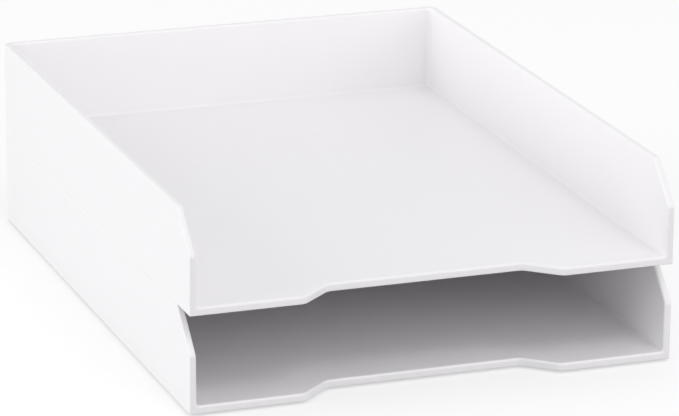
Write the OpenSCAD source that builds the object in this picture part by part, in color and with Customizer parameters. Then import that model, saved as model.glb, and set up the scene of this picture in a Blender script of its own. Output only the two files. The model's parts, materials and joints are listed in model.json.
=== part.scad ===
// Two stackable front-loading letter trays, one standing on the other.
// Millimetres. The origin is on the desk, under the middle of the stack.
// +X is to the right, +Y to the back and +Z up.

/* [Tray] */
// Outer width of a tray
tray_w = 247.6; // [235:0.2:330]
// Outer depth of a tray, front edge to back
tray_d = 323.8; // [300:0.2:400]
// Height of a tray, seating rim to top of the walls
tray_h = 49; // [40:0.5:80]
// Thickness of the walls at their top
wall_t = 3.2; // [2.4:0.1:4]
// Draft of the inner faces of the walls, in degrees
draft = 0.5; // [0:0.1:1.5]
// Thickness of the floor
floor_t = 2.4; // [1.8:0.1:3]
// Radius of the upright outer corners at the back
corner_r = 4; // [3.6:0.1:8]
// Radius between the floor and the walls
fillet_r = 1.5; // [0.5:0.1:4]

/* [Front] */
// Height and depth of the slanted cut at the front end of each side wall
slant = 19.5; // [10:0.5:30]
// Radius where the slanted cut meets the straight edges
slant_r = 4; // [1:0.5:6]
// Width of the finger notch at the front edge
notch_front_w = 132; // [124:1:150]
// Width of the finger notch at its back
notch_back_w = 100; // [70:1:108]
// Depth of the finger notch
notch_d = 14; // [10:0.5:18]
// Radius of the finger notch's corners
notch_r = 6; // [4:0.5:6]

/* [Underside] */
// Width of the seating rim, which stands on the walls of the tray below
rim_w = 3.4; // [3:0.1:3.5]
// Height of the seating rim below the floor
rim_h = 1.6; // [1.2:0.1:2.5]
// Width of the stiffening ribs
rib_w = 1.4; // [1:0.1:2]
// Height of the stiffening ribs, less than the rim's
rib_h = 1; // [0.6:0.1:1.1]
// Stiffening ribs from front to back
long_ribs = 3; // [1:1:5]
// Stiffening ribs from side to side
cross_ribs = 4; // [2:1:6]
// Length of each stacking lug
lug_l = 50; // [20:1:60]
// Thickness of a stacking lug
lug_t = 2; // [1.5:0.1:3]
// How far a stacking lug reaches below the rim
lug_drop = 0.9; // [0.5:0.1:1]
// Gap between a stacking lug and the wall that it drops behind
lug_gap = 0.5; // [0.3:0.1:1]

/* [Feet] */
// Diameter of a foot pad
foot_dia = 14; // [10:0.5:18]
// How far a foot pad reaches below the rim
foot_drop = 1.2; // [1.1:0.1:3]
// Radius round the lower edge of a foot pad
foot_edge_r = 0.8; // [0.3:0.1:1.2]
// Foot centre to the nearest side and front or back edge
foot_inset = 26; // [20:1:40]
// Thickness of the locating ring round a foot pad
ring_t = 1.6; // [1:0.1:2.5]

/* [Hidden] */

plastic = "#f6f6f8";
rubber = "#9a9b9e";

// Play between a foot pad and its ring
foot_play = 0.1;
// Steps in each rounded corner of an outline
arc_steps = 8;
// Overlap that joins one shape to the next, and overrun of each cut
weld = 0.4;
$fn = 64;

// Floor's upper face, above the rim
floor_top = rim_h + floor_t;
// Heights of the two rims above the desk
lower_z = foot_drop;
upper_z = lower_z + tray_h;
// Foot centres, from the middle of the tray
foot_x = tray_w / 2 - foot_inset;
foot_y = tray_d / 2 - foot_inset;

function unit(v) = v / norm(v);

// The corner between two edges of an outline, as an arc of radius r that touches both
function arc_at(before, corner, after, r) =
    let (
        a = unit(before - corner),
        b = unit(after - corner),
        half = acos(a * b) / 2,
        centre = corner + unit(a + b) * r / sin(half),
        from = corner + a * r / tan(half) - centre,
        to = corner + b * r / tan(half) - centre,
        start = atan2(from.y, from.x),
        turn = (atan2(to.y, to.x) - start + 540) % 360 - 180
    )
    [for (k = [0:arc_steps]) let (t = start + turn * k / arc_steps) centre + r * [cos(t), sin(t)]];

// An outline given as [x, y, corner radius] for each corner
function rounded(corners) =
    let (n = len(corners), at = [for (c = corners) [c.x, c.y]])
    [
        for (i = [0:n - 1])
            each corners[i].z > 0
                ? arc_at(at[(i + n - 1) % n], at[i], at[(i + 1) % n], corners[i].z)
                : [at[i]],
    ];

// Plan of the tray with its finger notch, moved inwards all round by inset
function plan(inset = 0) =
    let (
        x = tray_w / 2 - inset,
        front = inset - tray_d / 2,
        back = tray_d / 2 - inset,
        notch_angle = atan2(notch_d, (notch_front_w - notch_back_w) / 2),
        widen = inset * tan(notch_angle / 2),
        mouth = notch_front_w / 2 + widen,
        throat = notch_back_w / 2 + widen
    )
    rounded([
        [-x, front, 0],
        [-mouth, front, notch_r - inset],
        [-throat, front + notch_d, notch_r + inset],
        [throat, front + notch_d, notch_r + inset],
        [mouth, front, notch_r - inset],
        [x, front, 0],
        [x, back, corner_r - inset],
        [-x, back, corner_r - inset],
    ]);

// Lays an outline drawn in [y, z] across the tray, from x = -length / 2 to length / 2
module across(length) {
    rotate([90, 0, 90])
        linear_extrude(length, center = true)
            children();
}

// Lays an outline drawn in [x, z] along the tray, from y = -length / 2 to length / 2
module along(length) {
    rotate([90, 0, 0])
        linear_extrude(length, center = true)
            children();
}

// Side view of the tray, with the slanted cut at the front
module side_view() {
    front = -tray_d / 2;
    polygon(rounded([
        [front, 0, 0],
        [tray_d / 2, 0, 0],
        [tray_d / 2, tray_h, 0],
        [front + slant, tray_h, slant_r],
        [front, tray_h - slant, slant_r],
    ]));
}

// The space for paper: drafted sides and back, rounded where they meet the floor
module paper_space() {
    top = tray_h + weld;
    lean = tan(draft) * (tray_h - floor_top);
    flare = tan(draft) * weld;
    side = tray_w / 2 - wall_t;
    back = tray_d / 2 - wall_t;
    front = -tray_d / 2 - weld;
    intersection() {
        along(tray_d + 2 * weld)
            polygon(rounded([
                [side + flare, top, 0],
                [-side - flare, top, 0],
                [lean - side, floor_top, fillet_r],
                [side - lean, floor_top, fillet_r],
            ]));
        across(tray_w)
            polygon(rounded([
                [front, floor_top, 0],
                [back - lean, floor_top, fillet_r],
                [back + flare, top, 0],
                [front, top, 0],
            ]));
    }
}

// Low ribs that stiffen the floor from below
module stiffening_ribs() {
    intersection() {
        union() {
            for (i = [1:long_ribs])
                translate([tray_w * (i / (long_ribs + 1) - 0.5) - rib_w / 2, -tray_d / 2, rim_h - rib_h])
                    cube([rib_w, tray_d, rib_h + weld]);
            for (i = [1:cross_ribs])
                translate([-tray_w / 2, tray_d * (i / (cross_ribs + 1) - 0.5) - rib_w / 2, rim_h - rib_h])
                    cube([tray_w, rib_w, rib_h + weld]);
        }
        linear_extrude(rim_h + weld)
            polygon(plan(rim_w - weld));
    }
}

// One stacking lug along Y, with its outer face at x = 0 and its middle at y = 0
module lug() {
    translate([0, -lug_l / 2, -lug_drop])
        cube([lug_t, lug_l, lug_drop + rim_h + weld]);
}

// Lugs that drop just inside the side and back walls of the tray below
module stacking_lugs() {
    inset = wall_t + lug_gap;
    for (side = [0, 1], end = [-1, 1])
        mirror([side, 0, 0])
            translate([inset - tray_w / 2, end * tray_d / 4, 0])
                lug();
    for (side = [-1, 1])
        translate([side * tray_w / 4, tray_d / 2 - inset, 0])
            rotate([0, 0, -90])
                lug();
}

// Copies a shape to the four places where a foot pad sits
module at_each_foot() {
    for (x = [-foot_x, foot_x], y = [-foot_y, foot_y])
        translate([x, y, 0])
            children();
}

// Rings round the foot pads, solid until the sockets are cut
module foot_rings() {
    at_each_foot()
        cylinder(h = rim_h + weld, r = foot_dia / 2 + foot_play + ring_t);
}

// The spaces in the rings that the foot pads fill
module foot_sockets() {
    at_each_foot()
        translate([0, 0, -weld])
            cylinder(h = rim_h + weld, r = foot_dia / 2 + foot_play);
}

// Walls, floor and seating rim
module shell() {
    difference() {
        intersection() {
            linear_extrude(tray_h)
                polygon(plan());
            across(tray_w + 2 * weld)
                side_view();
        }
        paper_space();
        translate([0, 0, -weld])
            linear_extrude(rim_h + weld)
                polygon(plan(rim_w));
    }
}

// One tray, moulded in one piece, with its rim at z = 0
module tray() {
    shell();
    stacking_lugs();
    difference() {
        union() {
            stiffening_ribs();
            foot_rings();
        }
        foot_sockets();
    }
}

// One rubber pad, standing on z = 0 with its middle on the Z axis
module foot_pad() {
    r = foot_dia / 2;
    top = foot_drop + rim_h;
    rotate_extrude()
        polygon(concat(
            [[0, top], [0, 0]],
            [
                for (k = [0:arc_steps])
                    let (t = 90 * k / arc_steps)
                    [r - foot_edge_r + foot_edge_r * sin(t), foot_edge_r * (1 - cos(t))],
            ],
            [[r, top]]
        ));
}

// A foot pad under the tray whose rim is at rim_z; side -1 is left, end -1 is the front
module foot(rim_z, side, end) {
    color(rubber)
        translate([side * foot_x, end * foot_y, rim_z - foot_drop])
            foot_pad();
}

module lower_tray() {
    color(plastic)
        translate([0, 0, lower_z])
            tray();
}

module upper_tray() {
    color(plastic)
        translate([0, 0, upper_z])
            tray();
}

module lower_foot_front_left() {
    foot(lower_z, -1, -1);
}

module lower_foot_front_right() {
    foot(lower_z, 1, -1);
}

module lower_foot_back_left() {
    foot(lower_z, -1, 1);
}

module lower_foot_back_right() {
    foot(lower_z, 1, 1);
}

module upper_foot_front_left() {
    foot(upper_z, -1, -1);
}

module upper_foot_front_right() {
    foot(upper_z, 1, -1);
}

module upper_foot_back_left() {
    foot(upper_z, -1, 1);
}

module upper_foot_back_right() {
    foot(upper_z, 1, 1);
}

lower_tray();
upper_tray();
lower_foot_front_left();
lower_foot_front_right();
lower_foot_back_left();
lower_foot_back_right();
upper_foot_front_left();
upper_foot_front_right();
upper_foot_back_left();
upper_foot_back_right();
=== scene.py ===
"""Looks of two stacked letter trays: white mouldings, rubber feet, a pale studio and the camera."""

import json
from math import acos, atan2, cos, pi, radians, sin, tan

import bmesh
import bpy
from mathutils import Matrix, Vector


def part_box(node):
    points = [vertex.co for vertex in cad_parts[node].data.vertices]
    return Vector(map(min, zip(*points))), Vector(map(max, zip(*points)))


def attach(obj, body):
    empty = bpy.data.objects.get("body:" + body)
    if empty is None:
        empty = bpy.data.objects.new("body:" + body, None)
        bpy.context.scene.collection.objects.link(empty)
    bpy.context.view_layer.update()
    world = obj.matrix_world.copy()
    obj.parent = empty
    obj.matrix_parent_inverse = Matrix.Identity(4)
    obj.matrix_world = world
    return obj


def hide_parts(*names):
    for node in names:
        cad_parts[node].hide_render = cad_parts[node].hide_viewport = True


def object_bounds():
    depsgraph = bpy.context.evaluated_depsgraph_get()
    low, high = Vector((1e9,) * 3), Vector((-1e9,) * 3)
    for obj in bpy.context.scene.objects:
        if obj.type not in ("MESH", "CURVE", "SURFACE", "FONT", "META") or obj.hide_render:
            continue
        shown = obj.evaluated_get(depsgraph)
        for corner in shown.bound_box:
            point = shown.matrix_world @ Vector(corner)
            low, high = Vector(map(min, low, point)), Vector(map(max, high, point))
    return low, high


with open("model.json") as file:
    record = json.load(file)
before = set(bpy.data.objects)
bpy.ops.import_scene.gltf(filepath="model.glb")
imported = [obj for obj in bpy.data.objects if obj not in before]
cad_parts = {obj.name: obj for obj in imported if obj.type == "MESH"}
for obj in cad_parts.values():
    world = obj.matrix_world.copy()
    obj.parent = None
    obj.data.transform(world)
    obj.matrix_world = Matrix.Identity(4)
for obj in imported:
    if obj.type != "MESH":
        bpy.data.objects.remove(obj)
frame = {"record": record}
cad_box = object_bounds()

MM = 0.001

# Tray, in metres. Each tray is built with its seating rim at z = 0.
TRAY_H = 49 * MM
WALL = 3.2 * MM
DRAFT = radians(0.5)
FLOOR_TOP = 4 * MM
CORNER_R = 4 * MM
INNER_CORNER_R = 2.5 * MM
FILLET_R = 1.5 * MM
SLANT = 19.5 * MM
SLANT_R = 4 * MM
NOTCH_FRONT = 132 * MM
NOTCH_BACK = 100 * MM
NOTCH_D = 14 * MM
NOTCH_R = 6 * MM
RIM_W = 3.4 * MM
RIM_H = 1.6 * MM

# Underside
RIB_W = 1.4 * MM
RIB_H = 1.0 * MM
LONG_RIBS = 3
CROSS_RIBS = 4
LUG_L = 50 * MM
LUG_T = 2 * MM
LUG_DROP = 0.9 * MM
LUG_INSET = WALL + 0.5 * MM
RING_R = 8.7 * MM
RING_T = 1.6 * MM
FOOT_INSET = 26 * MM
GATE_R = 7 * MM
STUB_R = 1.2 * MM
STUB_H = 0.35 * MM
GATE_DROP = 1.1 * RIB_H
MARK_R = 4 * MM
MARK_DEPTH = 0.15 * MM
WELD = 0.4 * MM

# Foot pads
PAD_EDGE_R = 0.8 * MM
DISH_SHARE = 0.55
DISH_H = 0.3 * MM

# Edges that are rounded over
OUTER_EDGE_R = 0.4 * MM
INNER_EDGE_R = 1.2 * MM
SMALL_EDGE_R = 0.25 * MM
SHARP = radians(30)
SQUARE = radians(60)
ARC_STEPS = 8
LATHE_STEPS = 64
OUTER_EDGE_STEPS = 3
INNER_EDGE_STEPS = 5
SMALL_EDGE_STEPS = 2
JOIN_DISTANCE = 1e-6
SAME_POINT = 1e-7

tray_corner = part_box("lower_tray")[1]
HALF_W = tray_corner.x
HALF_D = tray_corner.y
FRONT = -HALF_D
MIDDLE = (cad_box[0] + cad_box[1]) / 2

# Most of a noise texture's values lie between these two
NOISE_LOW = 0.3
NOISE_HIGH = 0.7

# Colours of the light
WHITE = (1, 1, 1)
FAINT_PINK = (1, 0.97, 1)


# ---------------------------------------------------------------- outlines

def arc_at(before, corner, after, radius):
    """The corner between two edges of an outline, as an arc that touches both."""
    a = (before - corner).normalized()
    b = (after - corner).normalized()
    half = acos(a.dot(b)) / 2
    centre = corner + (a + b).normalized() * radius / sin(half)
    first = corner + a * radius / tan(half) - centre
    last = corner + b * radius / tan(half) - centre
    start = atan2(first.y, first.x)
    turn = (atan2(last.y, last.x) - start + 3 * pi) % (2 * pi) - pi
    angles = [start + turn * k / ARC_STEPS for k in range(ARC_STEPS + 1)]
    return [centre + radius * Vector((cos(t), sin(t))) for t in angles]


def rounded(corners):
    """An outline from (x, y, corner radius) for each corner."""
    at = [Vector(c[:2]) for c in corners]
    points = []
    for i, (_, _, radius) in enumerate(corners):
        if radius > 0:
            points += arc_at(at[i - 1], at[i], at[(i + 1) % len(at)], radius)
        else:
            points.append(at[i])
    return points


def plan(inset=0):
    """Plan of the tray moved inwards by inset: front edge from the left, then the back corners."""
    x = HALF_W - inset
    y = HALF_D - inset
    widen = inset * tan(atan2(NOTCH_D, (NOTCH_FRONT - NOTCH_BACK) / 2) / 2)
    mouth = NOTCH_FRONT / 2 + widen
    throat = NOTCH_BACK / 2 + widen
    return rounded([
        (-x, -y, 0),
        (-mouth, -y, NOTCH_R - inset),
        (-throat, NOTCH_D - y, NOTCH_R + inset),
        (throat, NOTCH_D - y, NOTCH_R + inset),
        (mouth, -y, NOTCH_R - inset),
        (x, -y, 0),
        (x, y, CORNER_R - inset),
        (-x, y, CORNER_R - inset),
    ])


def wall_end():
    """Side view (y, z) of a side wall's front end, from the upright front edge to the flat top."""
    outline = rounded([
        (FRONT, 0, 0),
        (FRONT, TRAY_H - SLANT, SLANT_R),
        (FRONT + SLANT, TRAY_H, SLANT_R),
        (0, TRAY_H, 0),
        (0, 0, 0),
    ])
    return outline[1:-2]


def inner_x(z):
    """Distance of a side wall's drafted inner face from the middle of the tray."""
    return HALF_W - WALL - tan(DRAFT) * (TRAY_H - z)


def cavity_loop(z, inset, radius):
    """The inside of the walls at height z, from the left front end round to the right front end."""
    x = inner_x(z) - inset
    y = x + HALF_D - HALF_W
    angles = [pi - pi / 2 * k / ARC_STEPS for k in range(ARC_STEPS + 1)]
    left = [Vector((radius - x + radius * cos(t), y - radius + radius * sin(t), z)) for t in angles]
    right = [Vector((-p.x, p.y, z)) for p in reversed(left)]
    return [Vector((-x, FRONT, z))] + left + right + [Vector((x, FRONT, z))]


# ---------------------------------------------------------------- mesh helpers

def flipped(points):
    """The same points on the other side of the tray."""
    return [Vector((-p.x, p.y, p.z)) for p in points]


def at_height(points, z):
    """The same points, all at height z."""
    return [Vector((p.x, p.y, z)) for p in points]


def strip(one, other, closed=False):
    """Four-sided faces between two rows of points."""
    count = len(one) if closed else len(one) - 1
    pairs = [(i, (i + 1) % len(one)) for i in range(count)]
    return [[one[i], one[j], other[j], other[i]] for i, j in pairs]


def grid_place(point):
    """A point's coordinates to the nearest hundredth of a millimetre, to tell points apart."""
    return tuple(round(c / MM, 2) for c in point)


def solid(polygons):
    """A bmesh from faces given as lists of points, with their shared corners joined."""
    bm = bmesh.new()
    for points in polygons:
        bm.faces.new([bm.verts.new(p) for p in points])
    bmesh.ops.remove_doubles(bm, verts=bm.verts, dist=JOIN_DISTANCE)
    bmesh.ops.recalc_face_normals(bm, faces=bm.faces)
    return bm


def round_edges(bm, edges, radius, segments):
    """Rounds edges over with the given radius."""
    bmesh.ops.bevel(
        bm, geom=edges, offset=radius, offset_type="OFFSET", segments=segments, profile=0.5,
        affect="EDGES", clamp_overlap=False, miter_outer="SHARP",
    )


def sharp_edges(bm):
    """The edges where two faces meet at a clear angle."""
    return [e for e in bm.edges if e.calc_face_angle(0) > SHARP]


def loft(loops):
    """A closed solid through loops that have the same number of points, flat at both ends."""
    polygons = [loops[0], loops[-1]]
    for one, other in zip(loops, loops[1:]):
        polygons += strip(one, other, closed=True)
    return solid(polygons)


def block(low, high):
    """A box with slightly rounded edges."""
    bm = bmesh.new()
    middle = (Vector(low) + Vector(high)) / 2
    size = Vector(high) - Vector(low)
    shape = Matrix.Translation(middle) @ Matrix.Diagonal((*size, 1))
    bmesh.ops.create_cube(bm, size=1, matrix=shape)
    round_edges(bm, bm.edges[:], SMALL_EDGE_R, SMALL_EDGE_STEPS)
    return bm


def lathe(profile):
    """A closed (radius, z) outline turned round the Z axis."""
    circles = []
    for k in range(LATHE_STEPS):
        turn = Matrix.Rotation(2 * pi * k / LATHE_STEPS, 3, "Z")
        circles.append([turn @ Vector((r, 0, z)) for r, z in profile])
    polygons = []
    for k in range(LATHE_STEPS):
        for face in strip(circles[k], circles[(k + 1) % LATHE_STEPS], closed=True):
            corners = [p for i, p in enumerate(face) if (p - face[i - 1]).length > SAME_POINT]
            if len(corners) > 2:
                polygons.append(corners)
    return solid(polygons)


def as_object(bm, name):
    """A scene object from a bmesh, which is freed."""
    mesh = bpy.data.meshes.new(name)
    bm.to_mesh(mesh)
    bm.free()
    obj = bpy.data.objects.new(name, mesh)
    bpy.context.scene.collection.objects.link(obj)
    return obj


def combined(base, cuts, additions):
    """One mesh from a base, less what is cut out of it, plus what is moulded onto it."""
    body = as_object(base, "base")
    steps = [(as_object(cut, "cut"), "DIFFERENCE") for cut in cuts]
    steps += [(as_object(addition, "addition"), "UNION") for addition in additions]
    for tool, operation in steps:
        step = body.modifiers.new(tool.name, "BOOLEAN")
        step.operation = operation
        step.solver = "EXACT"
        step.object = tool
    depsgraph = bpy.context.evaluated_depsgraph_get()
    mesh = bpy.data.meshes.new_from_object(body.evaluated_get(depsgraph))
    for tool in [body] + [tool for tool, _ in steps]:
        bpy.data.objects.remove(tool)
    return mesh


# ---------------------------------------------------------------- pieces

def finish_piece(piece, node, body, material):
    """Smooth shading, material and place in the frame for a piece that stands for a CAD node."""
    piece.data.materials.clear()
    piece.data.materials.append(material)
    piece.data.polygons.foreach_set("use_smooth", [True] * len(piece.data.polygons))
    piece.data.set_sharp_from_angle(angle=SHARP)
    normals = piece.modifiers.new("normals", "WEIGHTED_NORMAL")
    normals.keep_sharp = True
    normals.weight = 100
    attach(piece, body)
    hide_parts(node)


# ---------------------------------------------------------------- tray

def shell():
    """Walls and floor of one tray in one closed solid, with every edge rounded over."""
    outline = plan()
    front_run = outline[:-2 * (ARC_STEPS + 1)]
    left_back = outline[-ARC_STEPS - 1:][::-1]
    outer_end = [Vector((-HALF_W, y, z)) for y, z in wall_end()]
    inner_end = [Vector((-inner_x(z), y, z)) for y, z in wall_end()]
    outer_back = at_height([p.to_3d() for p in left_back], TRAY_H)
    outer_foot = at_height(outer_back, 0)
    inner_back = cavity_loop(TRAY_H, 0, INNER_CORNER_R)[1:ARC_STEPS + 2]

    fillet = []
    for k in range(ARC_STEPS + 1):
        t = pi / 2 * k / ARC_STEPS
        inset = FILLET_R * (1 - cos(t))
        loop = cavity_loop(FLOOR_TOP + FILLET_R, inset, INNER_CORNER_R - inset)
        fillet.append(at_height(loop, FLOOR_TOP + FILLET_R * (1 - sin(t))))
    inner_foot = fillet[0][1:ARC_STEPS + 2]

    lip_top = at_height([p.to_3d() for p in front_run[1:-1]], FLOOR_TOP)
    lip_foot = at_height(lip_top, 0)
    corner = Vector((-HALF_W, FRONT, 0))

    left = [
        [corner, *outer_end, outer_back[0], outer_foot[0]],
        [fillet[0][0], *inner_end, inner_back[0], inner_foot[0]],
        [corner, outer_end[0], inner_end[0], *[row[0] for row in fillet], lip_top[0], lip_foot[0]],
    ]
    left += strip(outer_end + outer_back, inner_end + inner_back)
    left += strip(outer_back, outer_foot)
    left += strip(inner_back, inner_foot)
    polygons = left + [flipped(face) for face in left]

    back_rows = ((outer_back, inner_back), (outer_back, outer_foot), (inner_back, inner_foot))
    for upper, lower in back_rows:
        polygons.append([upper[-1], lower[-1], *flipped([lower[-1], upper[-1]])])
    for upper, lower in zip(fillet, fillet[1:]):
        polygons += strip(upper, lower)
    polygons.append(fillet[-1] + lip_top[::-1])
    polygons += strip(lip_top, lip_foot)
    polygons.append([p.to_3d() for p in outline])

    inner_line = inner_end + inner_back + [row[0] for row in fillet] + lip_top
    inner_line = {grid_place(p) for p in inner_line + flipped(inner_line)}
    bm = solid(polygons)
    inner = [e for e in sharp_edges(bm) if all(grid_place(v.co) in inner_line for v in e.verts)]
    round_edges(bm, inner, INNER_EDGE_R, INNER_EDGE_STEPS)
    outer = [e for e in bm.edges if e.calc_face_angle(0) > SQUARE]
    round_edges(bm, outer, OUTER_EDGE_R, OUTER_EDGE_STEPS)
    return bm


def recess():
    """The hollow inside the seating rim, with a rounded mouth and a fillet at its ceiling."""
    edge = SMALL_EDGE_R
    turns = [pi / 2 * k / ARC_STEPS for k in range(ARC_STEPS + 1)]
    rows = [(RIM_W - edge, -RIM_H)]
    rows += [(RIM_W - edge * (1 - sin(t)), edge * (1 - cos(t))) for t in turns]
    rows += [(RIM_W + edge * (1 - cos(t)), RIM_H - edge * (1 - sin(t))) for t in turns]
    return loft([at_height([p.to_3d() for p in plan(inset)], z) for inset, z in rows])


def rib_front(x):
    """Where a rib at x from front to back ends, inside the seating rim behind the front edge."""
    slope = NOTCH_D / (NOTCH_FRONT - NOTCH_BACK) * 2
    depth = min(max((NOTCH_FRONT / 2 - abs(x)) * slope, 0), NOTCH_D)
    return FRONT + depth + RIM_W / 2


def ribs():
    """Low ribs under the floor, from front to back and from side to side."""
    low = RIM_H - RIB_H
    high = RIM_H + WELD
    side = HALF_W - RIM_W / 2
    back = HALF_D - RIM_W / 2
    made = []
    for i in range(1, LONG_RIBS + 1):
        x = 2 * HALF_W * (i / (LONG_RIBS + 1) - 0.5)
        made.append(block((x - RIB_W / 2, rib_front(x), low), (x + RIB_W / 2, back, high)))
    for i in range(1, CROSS_RIBS + 1):
        y = 2 * HALF_D * (i / (CROSS_RIBS + 1) - 0.5)
        made.append(block((-side, y - RIB_W / 2, low), (side, y + RIB_W / 2, high)))
    return made


def lugs():
    """Lugs that drop just inside the side and back walls of the tray below."""
    low = -LUG_DROP
    high = RIM_H + WELD
    outer = HALF_W - LUG_INSET
    back = HALF_D - LUG_INSET
    made = []
    for side in (-1, 1):
        near, far = sorted((side * outer, side * (outer - LUG_T)))
        for y in (-HALF_D / 2, HALF_D / 2):
            made.append(block((near, y - LUG_L / 2, low), (far, y + LUG_L / 2, high)))
        x = side * HALF_W / 2
        made.append(block((x - LUG_L / 2, back - LUG_T, low), (x + LUG_L / 2, back, high)))
    return made


def foot_places():
    """The middles of the four foot pads, seen from above."""
    x = HALF_W - FOOT_INSET
    y = HALF_D - FOOT_INSET
    return [(-x, -y), (x, -y), (-x, y), (x, y)]


def rings():
    """Collars round the foot pads."""
    bore = RING_R - RING_T
    profile = [
        (bore, RIM_H + WELD),
        (bore, SMALL_EDGE_R),
        (bore + SMALL_EDGE_R, 0),
        (RING_R - SMALL_EDGE_R, 0),
        (RING_R, SMALL_EDGE_R),
        (RING_R, RIM_H + WELD),
    ]
    made = []
    for x, y in foot_places():
        ring = lathe(profile)
        ring.transform(Matrix.Translation((x, y, 0)))
        made.append(ring)
    return made


def gate():
    """The disc where the plastic was injected, in the middle of the floor, with its stub."""
    low = RIM_H - GATE_DROP
    stub_low = low - STUB_H
    return lathe([
        (0, RIM_H + WELD),
        (0, stub_low),
        (STUB_R - SMALL_EDGE_R, stub_low),
        (STUB_R, stub_low + SMALL_EDGE_R),
        (STUB_R, low),
        (GATE_R - SMALL_EDGE_R, low),
        (GATE_R, low + SMALL_EDGE_R),
        (GATE_R, RIM_H + WELD),
    ])


def ejector_marks():
    """Shallow round marks between the ribs, where pins pushed the tray out of its mould."""
    top = RIM_H + MARK_DEPTH
    made = []
    for i in range(LONG_RIBS + 1):
        x = 2 * HALF_W * ((i + 0.5) / (LONG_RIBS + 1) - 0.5)
        for j in range(1, CROSS_RIBS):
            y = 2 * HALF_D * ((j + 0.5) / (CROSS_RIBS + 1) - 0.5)
            mark = lathe([(0, 0), (MARK_R, 0), (MARK_R, top), (0, top)])
            mark.transform(Matrix.Translation((x, y, 0)))
            made.append(mark)
    return made


def tray(name, body, material, template):
    """One tray, standing where the CAD tray of that name stands."""
    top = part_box(name)[1].z
    mesh = template.copy()
    mesh.transform(Matrix.Translation((0, 0, top - TRAY_H)))
    piece = bpy.data.objects.new(f"{name}_moulding", mesh)
    bpy.context.scene.collection.objects.link(piece)
    finish_piece(piece, name, body, material)


def tray_template():
    """The mesh that both trays share, with its seating rim at z = 0."""
    mesh = combined(shell(), [recess(), *ejector_marks()], [*ribs(), *lugs(), *rings(), gate()])
    mesh.name = "tray"
    return mesh


# ---------------------------------------------------------------- feet

def foot_pad(name, body, material):
    """A rubber pad with a rounded lower edge and a shallow dish underneath."""
    low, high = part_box(name)
    radius = (high.x - low.x) / 2
    dish_r = DISH_SHARE * radius
    dish_top = low.z + DISH_H
    turns = [pi / 2 * k / ARC_STEPS for k in range(ARC_STEPS + 1)]
    profile = [(0, high.z), (0, dish_top), (dish_r, dish_top), (dish_r + DISH_H, low.z)]
    profile += [
        (radius - PAD_EDGE_R * (1 - sin(t)), low.z + PAD_EDGE_R * (1 - cos(t)))
        for t in turns
    ]
    profile.append((radius, high.z))
    bm = lathe(profile)
    bm.transform(Matrix.Translation(((low.x + high.x) / 2, (low.y + high.y) / 2, 0)))
    finish_piece(as_object(bm, f"{name}_pad"), name, body, material)


# ---------------------------------------------------------------- materials

def noise(nodes, links, coordinates, scale, detail):
    """A noise value from 0 to 1."""
    texture = nodes.new("ShaderNodeTexNoise")
    texture.inputs["Scale"].default_value = scale
    texture.inputs["Detail"].default_value = detail
    links.new(coordinates, texture.inputs["Vector"])
    return texture.outputs["Fac"]


def ranged(nodes, links, value, low, high):
    """A 0 to 1 noise value stretched to run from low to high."""
    mapped = nodes.new("ShaderNodeMapRange")
    mapped.inputs["From Min"].default_value = NOISE_LOW
    mapped.inputs["From Max"].default_value = NOISE_HIGH
    mapped.inputs["To Min"].default_value = low
    mapped.inputs["To Max"].default_value = high
    links.new(value, mapped.inputs["Value"])
    return mapped.outputs["Result"]


def bumped(nodes, links, height, depth, normal=None):
    """A surface normal bent by a height, on top of another normal where one is given."""
    bump = nodes.new("ShaderNodeBump")
    bump.inputs["Distance"].default_value = depth
    links.new(height, bump.inputs["Height"])
    if normal is not None:
        links.new(normal, bump.inputs["Normal"])
    return bump.outputs["Normal"]


def mottled(nodes, links, factor, one, other):
    """A colour that drifts between two close colours."""
    mix = nodes.new("ShaderNodeMix")
    mix.data_type = "RGBA"
    mix.inputs["A"].default_value = (*one, 1)
    mix.inputs["B"].default_value = (*other, 1)
    links.new(factor, mix.inputs["Factor"])
    return mix.outputs["Result"]


def new_material(name):
    """An empty Principled material with its nodes, links, object coordinates and shader."""
    material = bpy.data.materials.new(name)
    material.use_nodes = True
    nodes = material.node_tree.nodes
    links = material.node_tree.links
    coordinates = nodes.new("ShaderNodeTexCoord").outputs["Object"]
    return material, nodes, links, coordinates, nodes["Principled BSDF"]


def tray_plastic():
    """White polystyrene: satin gloss, a faint moulding texture and slightly wavy flats."""
    material, nodes, links, coordinates, shader = new_material("tray_plastic")
    broad = noise(nodes, links, coordinates, scale=14, detail=2)
    patchy = noise(nodes, links, coordinates, scale=60, detail=4)
    fine = noise(nodes, links, coordinates, scale=2200, detail=2)
    colour = mottled(nodes, links, patchy, (0.918, 0.906, 0.922), (0.932, 0.92, 0.936))
    links.new(colour, shader.inputs["Base Color"])
    links.new(ranged(nodes, links, patchy, low=0.29, high=0.36), shader.inputs["Roughness"])
    wavy = bumped(nodes, links, broad, depth=0.25 * MM)
    textured = bumped(nodes, links, fine, depth=0.006 * MM, normal=wavy)
    links.new(textured, shader.inputs["Normal"])
    return material


def foot_rubber():
    """Grey rubber, matte, with a fine grain."""
    material, nodes, links, coordinates, shader = new_material("foot_rubber")
    grain = noise(nodes, links, coordinates, scale=1500, detail=3)
    patchy = noise(nodes, links, coordinates, scale=300, detail=3)
    colour = mottled(nodes, links, patchy, (0.26, 0.26, 0.27), (0.33, 0.33, 0.34))
    links.new(colour, shader.inputs["Base Color"])
    links.new(ranged(nodes, links, grain, low=0.7, high=0.85), shader.inputs["Roughness"])
    links.new(bumped(nodes, links, grain, depth=0.03 * MM), shader.inputs["Normal"])
    return material


# ---------------------------------------------------------------- studio

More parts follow.
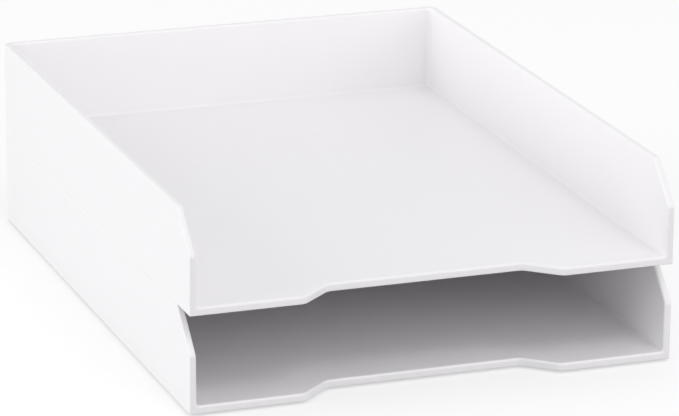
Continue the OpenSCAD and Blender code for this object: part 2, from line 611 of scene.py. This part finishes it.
def seen_or_cast(nodes, links, seen, cast):
    """A strength of seen to the camera and in reflections, and of cast in all other light."""
    path = nodes.new("ShaderNodeLightPath")
    in_view = nodes.new("ShaderNodeMath")
    in_view.operation = "MAXIMUM"
    links.new(path.outputs["Is Camera Ray"], in_view.inputs[0])
    links.new(path.outputs["Is Glossy Ray"], in_view.inputs[1])
    strength = nodes.new("ShaderNodeMapRange")
    strength.inputs["To Min"].default_value = cast
    strength.inputs["To Max"].default_value = seen
    links.new(in_view.outputs["Value"], strength.inputs["Value"])
    return strength.outputs["Result"]


def add_floor(glow):
    """A wide, plain floor that looks white; glow shows to the camera and in reflections only."""
    bm = bmesh.new()
    bmesh.ops.create_circle(bm, cap_ends=True, radius=12, segments=96)
    floor = as_object(bm, "floor")
    material, nodes, links, coordinates, shader = new_material("studio_floor")
    patchy = noise(nodes, links, coordinates, scale=3, detail=2)
    colour = mottled(nodes, links, patchy, (0.45, 0.45, 0.45), (0.46, 0.46, 0.46))
    links.new(colour, shader.inputs["Base Color"])
    shader.inputs["Roughness"].default_value = 0.9
    shader.inputs["Emission Color"].default_value = (*WHITE, 1)
    links.new(seen_or_cast(nodes, links, seen=glow, cast=0), shader.inputs["Emission Strength"])
    floor.data.materials.append(material)


def add_softbox(name, place, width, height, watts, colour=WHITE):
    """A rectangular area light at place, turned towards the trays."""
    data = bpy.data.lights.new(name, "AREA")
    data.shape = "RECTANGLE"
    data.size = width
    data.size_y = height
    data.energy = watts
    data.color = colour
    light = bpy.data.objects.new(name, data)
    light.location = place
    light.rotation_euler = (MIDDLE - Vector(place)).to_track_quat("-Z", "Y").to_euler()
    bpy.context.scene.collection.objects.link(light)


def add_surroundings(seen, cast):
    """A white studio: seen is how bright it looks, cast is how much light it gives."""
    world = bpy.data.worlds.new("studio")
    world.use_nodes = True
    nodes = world.node_tree.nodes
    links = world.node_tree.links
    links.new(seen_or_cast(nodes, links, seen, cast), nodes["Background"].inputs["Strength"])
    nodes["Background"].inputs["Color"].default_value = (*WHITE, 1)
    bpy.context.scene.world = world


def add_camera(aim, distance, azimuth, elevation, roll, lens, shift_x):
    """A long lens in front of the trays and a little to their left."""
    data = bpy.data.cameras.new("camera")
    data.sensor_width = 36
    data.lens = lens
    data.shift_x = shift_x
    data.clip_end = 50
    camera = bpy.data.objects.new("camera", data)
    turn = Matrix.Rotation(radians(azimuth), 4, "Z")
    tilt = Matrix.Rotation(radians(90 - elevation), 4, "X")
    lean = Matrix.Rotation(radians(roll), 4, "Z")
    camera.matrix_world = (
        Matrix.Translation(aim) @ turn @ tilt @ lean @ Matrix.Translation((0, 0, distance))
    )
    bpy.context.scene.collection.objects.link(camera)
    bpy.context.scene.camera = camera


# ---------------------------------------------------------------- the scene

add_camera(
    aim=(-0.0101, 0.0015, 0.0431), distance=2.083,
    azimuth=-19.57, elevation=17.61, roll=0.34, lens=214.9, shift_x=0.055,
)
add_floor(glow=0.55)
add_surroundings(seen=0.85, cast=0.72)
add_softbox("left_softbox", place=(-2.2, 0, 0.9), width=1.5, height=1.5, watts=12)
add_softbox("low_left_softbox", place=(-1.6, 0, 0.2), width=1, height=0.3, watts=4.5)
add_softbox(
    "front_softbox", place=(0.3, -2.6, 0.7), width=2.4, height=1.3, watts=7.5, colour=FAINT_PINK,
)
add_softbox(
    "right_softbox", place=(1.3, -1.5, 0.8), width=1.8, height=1.2, watts=5.5, colour=FAINT_PINK,
)
add_softbox("high_front_softbox", place=(0.4, -1.2, 2), width=0.6, height=0.6, watts=4)
bpy.context.scene.view_settings.view_transform = "Standard"

plastic = tray_plastic()
rubber = foot_rubber()
template = tray_template()
for body, members in frame["record"]["behaviour"]["bodies"].items():
    for node in members:
        if node.endswith("_tray"):
            tray(node, body, plastic, template)
        else:
            foot_pad(node, body, rubber)
bpy.data.meshes.remove(template)
